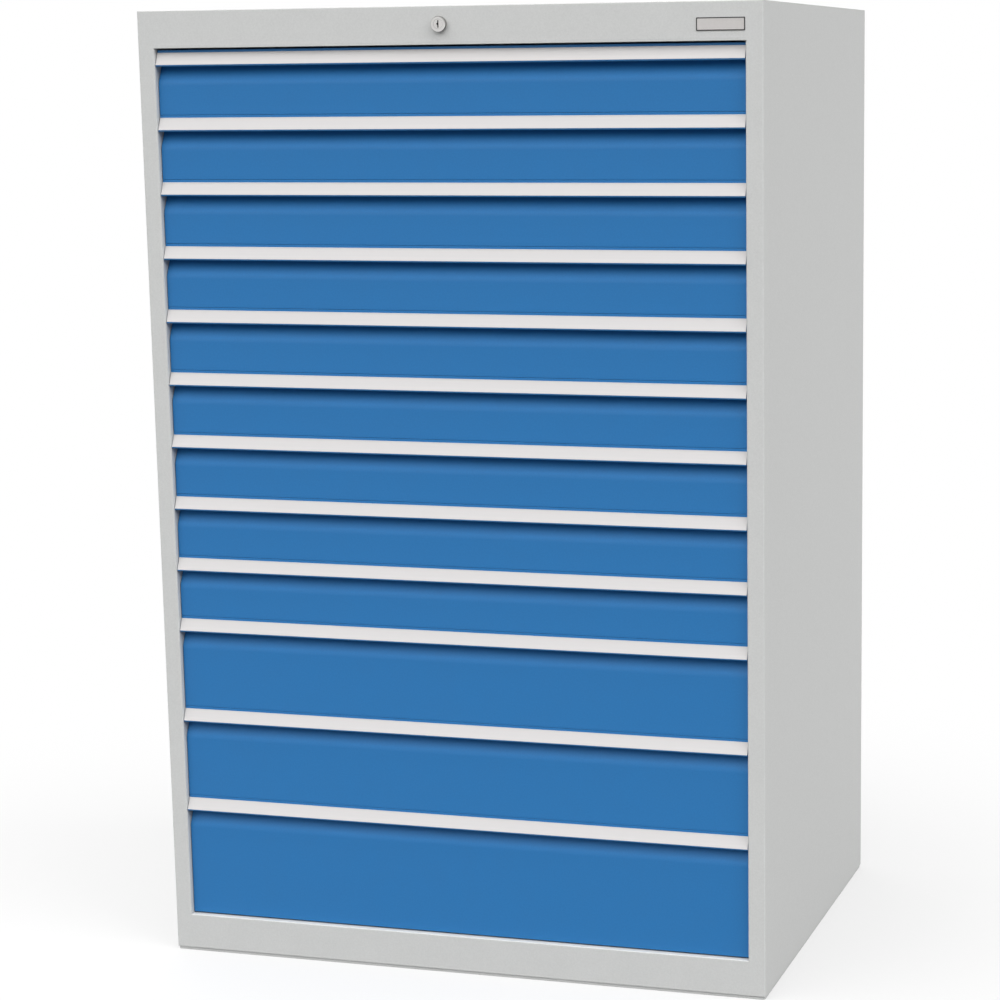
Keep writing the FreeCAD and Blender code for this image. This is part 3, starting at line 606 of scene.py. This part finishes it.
def rivet_tree():
    tree = bpy.data.node_groups.new("blind_rivets", "GeometryNodeTree")
    tree.is_modifier = True
    for name, kind in RIVET_INPUTS.items():
        tree.interface.new_socket(name, in_out="INPUT", socket_type=kind)
    tree.interface.new_socket("Rivets", in_out="OUTPUT", socket_type="NodeSocketGeometry")
    given = add_node(tree, "NodeGroupInput").outputs
    half = add_node(tree, "ShaderNodeMath", {"operation": "MULTIPLY"},
                    i0=given["Head width"], i1=0.5).outputs[0]
    blank = add_node(tree, "GeometryNodeMeshCylinder", {"fill_type": "TRIANGLE_FAN"}, Vertices=10,
                     Fill_Segments=2, Radius=half, Depth=given["Head height"])
    place = add_node(tree, "GeometryNodeInputPosition").outputs[0]
    parts = add_node(tree, "ShaderNodeSeparateXYZ", Vector=place).outputs
    level = add_node(tree, "ShaderNodeCombineXYZ", X=parts["X"], Y=parts["Y"])
    from_axis = add_node(tree, "ShaderNodeVectorMath", {"operation": "LENGTH"}, i0=level.outputs[0])
    share = add_node(tree, "ShaderNodeMath", {"operation": "DIVIDE"},
                     i0=from_axis.outputs["Value"], i1=half).outputs[0]
    crown = add_node(tree, "ShaderNodeMath", {"operation": "POWER"}, i0=share, i1=2.0)
    dimple = add_node(tree, "ShaderNodeMath", {"operation": "LESS_THAN"},
                      i0=share, i1=DIMPLE_REACH)
    drop = add_node(tree, "ShaderNodeMath", {"operation": "MULTIPLY_ADD"},
                    i0=crown.outputs[0], i1=RIM_DROP, i2=dimple.outputs[0])
    lower = add_node(tree, "ShaderNodeMath", {"operation": "MULTIPLY"},
                     i0=drop.outputs[0], i1=given["Head height"])
    pushed = add_node(tree, "ShaderNodeMath", {"operation": "MULTIPLY"},
                      i0=lower.outputs[0], i1=PUSH)
    push = add_node(tree, "ShaderNodeCombineXYZ", Z=pushed.outputs[0])
    is_top = add_node(tree, "ShaderNodeMath", {"operation": "GREATER_THAN"},
                      i0=parts["Z"], i1=0.0)
    head = add_node(tree, "GeometryNodeSetPosition", Geometry=blank.outputs["Mesh"],
                    Selection=is_top.outputs[0], Offset=push.outputs[0])
    facing = add_node(tree, "GeometryNodeInputNamedAttribute", {"data_type": "FLOAT_VECTOR"},
                      Name="facing")
    turned = add_node(tree, "FunctionNodeAlignRotationToVector", {"axis": "Z"},
                      Vector=facing.outputs[0])
    placed = add_node(tree, "GeometryNodeInstanceOnPoints", Points=given["Places"],
                      Instance=head.outputs[0], Rotation=turned.outputs[0])
    real = add_node(tree, "GeometryNodeRealizeInstances", Geometry=placed.outputs[0])
    painted = add_node(tree, "GeometryNodeSetMaterial", Geometry=real.outputs[0],
                       Material=given["Finish"])
    add_node(tree, "NodeGroupOutput", Rivets=painted.outputs[0])
    return tree


rivets_tree = rivet_tree()
print("the rivet tree has", len(rivets_tree.nodes), "nodes")

# %% [markdown]
# ## One mesh of rivets
#
# The points carry each rivet's direction as an attribute, which the tree reads by its name.
# The tree is evaluated and its result is kept as a plain mesh, so nothing is left to work
# out. A live modifier would look the same, but it would be worked out again each time.

# %% One mesh of rivets
HEAD_WIDTH, HEAD_HEIGHT = 6.5 * MM, 1.2 * MM


def place_rivets(name, body, places):
    points = bpy.data.meshes.new(name)
    points.from_pydata([place for place, direction in places], [], [])
    facing = points.attributes.new("facing", "FLOAT_VECTOR", "POINT")
    for index, (place, direction) in enumerate(places):
        facing.data[index].vector = direction
    piece = add_object(name, points)
    modifier = piece.modifiers.new("rivets", "NODES")
    modifier.node_group = rivets_tree
    sockets = [item for item in rivets_tree.interface.items_tree if item.in_out == "INPUT"]
    inputs = {item.name: item.identifier for item in sockets}
    modifier[inputs["Head width"]] = HEAD_WIDTH
    modifier[inputs["Head height"]] = HEAD_HEIGHT
    modifier[inputs["Finish"]] = runner_zinc
    depsgraph = bpy.context.evaluated_depsgraph_get()
    baked = bpy.data.meshes.new_from_object(piece.evaluated_get(depsgraph))
    piece.modifiers.remove(modifier)
    piece.data = baked
    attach(piece, body)
    return piece


print("a head is", round(HEAD_WIDTH / MM, 1), "mm wide")

# %% [markdown]
# ## Rivets in the trays
#
# Each drawer gets one mesh of rivets that rides with it. Four heads sit on each side wall at
# the height of the runner, and four on the wall behind the front. The numbers below are in
# millimetres: heights from the foot of each drawer, depths from the plane of the fronts and
# widths from the middle, as a fitter would measure them. Drawers are stacked from the top.

# %% Tray rivets
MODULES = [100] * 9 + [150] * 2 + [200]
STACK_TOP = 1464
INNER_WALL, INNER_FRONT = 450, 25
RUNNER_HEIGHT = 36
WALL_DEPTHS = (84, 224, 424, 564)
FRONT_PLACES = (-390, -150, 150, 390)

lift = STACK_TOP
made = 0
for number, module in enumerate(MODULES, start=1):
    lift -= module
    off_wall = HEAD_HEIGHT / 2
    places = []
    for side in (-1, 1):
        x = side * (INNER_WALL * MM - off_wall)
        for depth in WALL_DEPTHS:
            spot = Vector((x, FRONT_PLANE + depth * MM, (lift + RUNNER_HEIGHT) * MM))
            places.append((spot, Vector((-side, 0, 0))))
    for across in FRONT_PLACES:
        y = FRONT_PLANE + INNER_FRONT * MM + off_wall
        spot = Vector((across * MM, y, (lift + module / 2) * MM))
        places.append((spot, Vector((0, 1, 0))))
    rivets = place_rivets(f"drawer_{number:02d}_rivets", f"drawer_{number:02d}", places)
    made += len(places)
print(made, "rivets,", len(rivets.data.polygons), "faces in each drawer")
